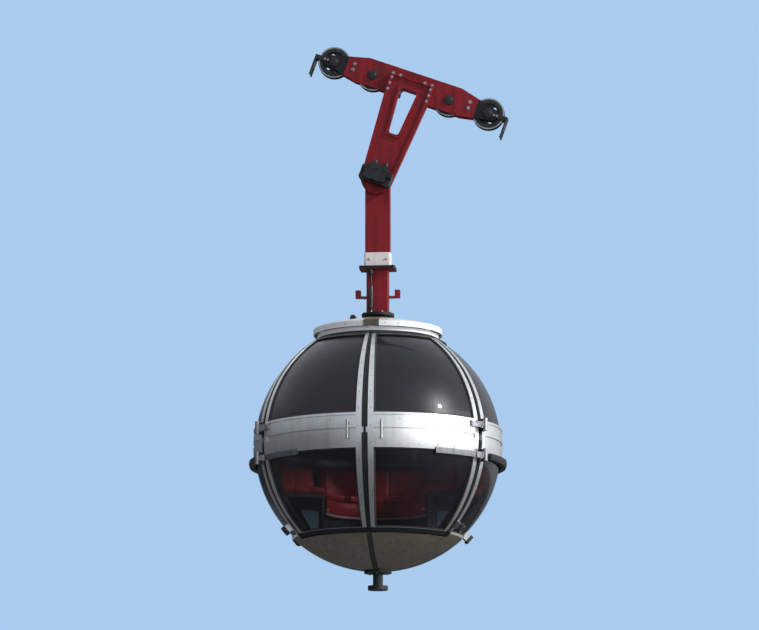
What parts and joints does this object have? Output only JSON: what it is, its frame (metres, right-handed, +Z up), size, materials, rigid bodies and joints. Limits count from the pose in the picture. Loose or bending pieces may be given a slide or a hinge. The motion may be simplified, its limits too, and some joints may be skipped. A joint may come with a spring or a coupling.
{
  "type": "cable car cabin",
  "caption": "Spherical glazed cable car cabin on a box-section hanger, with its fork, haul rope grip and wheeled carriage.",
  "frame": {"origin": "on the axis of the track rope, below the middle of the carriage", "axes": "+X level along the line, downhill; -Y towards the doors; +Z up. The carriage sits on a rope that falls 20 degrees towards +X, and the cabin hangs upright"},
  "size_m": [2.0943, 2.0337, 4.4519],
  "materials": {
    "arm_paint": "semi-gloss dark red paint",
    "collar_white": "pale satin",
    "trim_aluminium": "bright satin extrusion",
    "roof_silver": "pale glass-fibre shell",
    "pan_grey": "grey-brown glass-fibre shell",
    "smoked_glazing": "smoke-tinted acrylic",
    "steel": "brushed",
    "carriage_steel": "dark grey paint, greased",
    "wheel_casting": "as cast, tread worn bright",
    "pad_rubber": "black",
    "bench_moulding": "dark grey moulded",
    "floor_covering": "studded",
    "cushion_vinyl": "red vinyl"
  },
  "bodies": {
    "carriage": {"fork": "arm_paint", "cheek_door_side": "arm_paint", "cheek_far_side": "arm_paint", "carriage_blocks": "arm_paint", "grip_body": "carriage_steel", "grip_jaw": "carriage_steel", "guard_uphill": "carriage_steel", "guard_downhill": "carriage_steel", "axles": "steel", "pivot_pin": "steel"},
    "cabin": {"hanger_arm": "arm_paint", "hanger_knuckle": "arm_paint", "cable_brackets": "arm_paint", "hanger_collar": "collar_white", "rib_right_post": "trim_aluminium", "rib_right_rear": "trim_aluminium", "rib_rear": "trim_aluminium", "rib_left_rear": "trim_aluminium", "rib_left_post": "trim_aluminium", "band_fixed": "trim_aluminium", "crown_frame": "trim_aluminium", "roof_cap": "roof_silver", "floor_pan": "pan_grey", "glass_upper": "smoked_glazing", "glass_lower": "smoked_glazing", "hinge_post_right": "steel", "hinge_post_left": "steel", "grab_rails": "steel", "guide_shoes": "steel", "knuckle_dampers": "carriage_steel", "bottom_guide": "carriage_steel", "roof_lever": "carriage_steel", "bumper_downhill": "carriage_steel", "bumper_uphill": "carriage_steel", "guide_pads": "pad_rubber", "foot_dampers": "pad_rubber", "bench": "bench_moulding", "ceiling_panel": "bench_moulding", "floor_deck": "floor_covering", "seat_cushion_right": "cushion_vinyl", "seat_cushion_rear": "cushion_vinyl", "seat_cushion_left": "cushion_vinyl", "back_pad_right": "cushion_vinyl", "back_pad_rear": "cushion_vinyl", "back_pad_left": "cushion_vinyl"},
    "door_left": {"door_left_frame": "trim_aluminium", "door_left_band": "trim_aluminium", "door_left_glass": "smoked_glazing", "door_left_hinge": "steel", "door_left_handle": "steel"},
    "door_right": {"door_right_frame": "trim_aluminium", "door_right_band": "trim_aluminium", "door_right_glass": "smoked_glazing", "door_right_hinge": "steel", "door_right_handle": "steel"},
    "wheel_1": {"wheel_1": "wheel_casting"},
    "wheel_2": {"wheel_2": "wheel_casting"},
    "wheel_3": {"wheel_3": "wheel_casting"},
    "wheel_4": {"wheel_4": "wheel_casting"}
  },
  "joints": [
    {"name": "hanger_swing", "type": "hinge", "parent": "carriage", "child": "cabin", "pos_m": [-0.23086, 0, -0.63429], "axis": [0, 1, 0], "range_deg": [-30, 30]},
    {"name": "door_left_hinge", "type": "hinge", "parent": "cabin", "child": "door_left", "pos_m": [-1.13673, -0.523, -2.82429], "axis": [0, 0, -1], "range_deg": [0, 85]},
    {"name": "door_right_hinge", "type": "hinge", "parent": "cabin", "child": "door_right", "pos_m": [0.675, -0.523, -2.82429], "axis": [0, 0, 1], "range_deg": [0, 85]},
    {"name": "wheel_1_spin", "type": "hinge", "parent": "carriage", "child": "wheel_1", "pos_m": [-0.5865, 0, 0.34756], "axis": [0, 1, 0], "continuous": true},
    {"name": "wheel_2_spin", "type": "hinge", "parent": "carriage", "child": "wheel_2", "pos_m": [-0.267, 0, 0.23127], "axis": [0, 1, 0], "continuous": true},
    {"name": "wheel_3_spin", "type": "hinge", "parent": "carriage", "child": "wheel_3", "pos_m": [0.35319, 0, 0.00553], "axis": [0, 1, 0], "continuous": true},
    {"name": "wheel_4_spin", "type": "hinge", "parent": "carriage", "child": "wheel_4", "pos_m": [0.67269, 0, -0.11075], "axis": [0, 1, 0], "continuous": true}
  ]
}
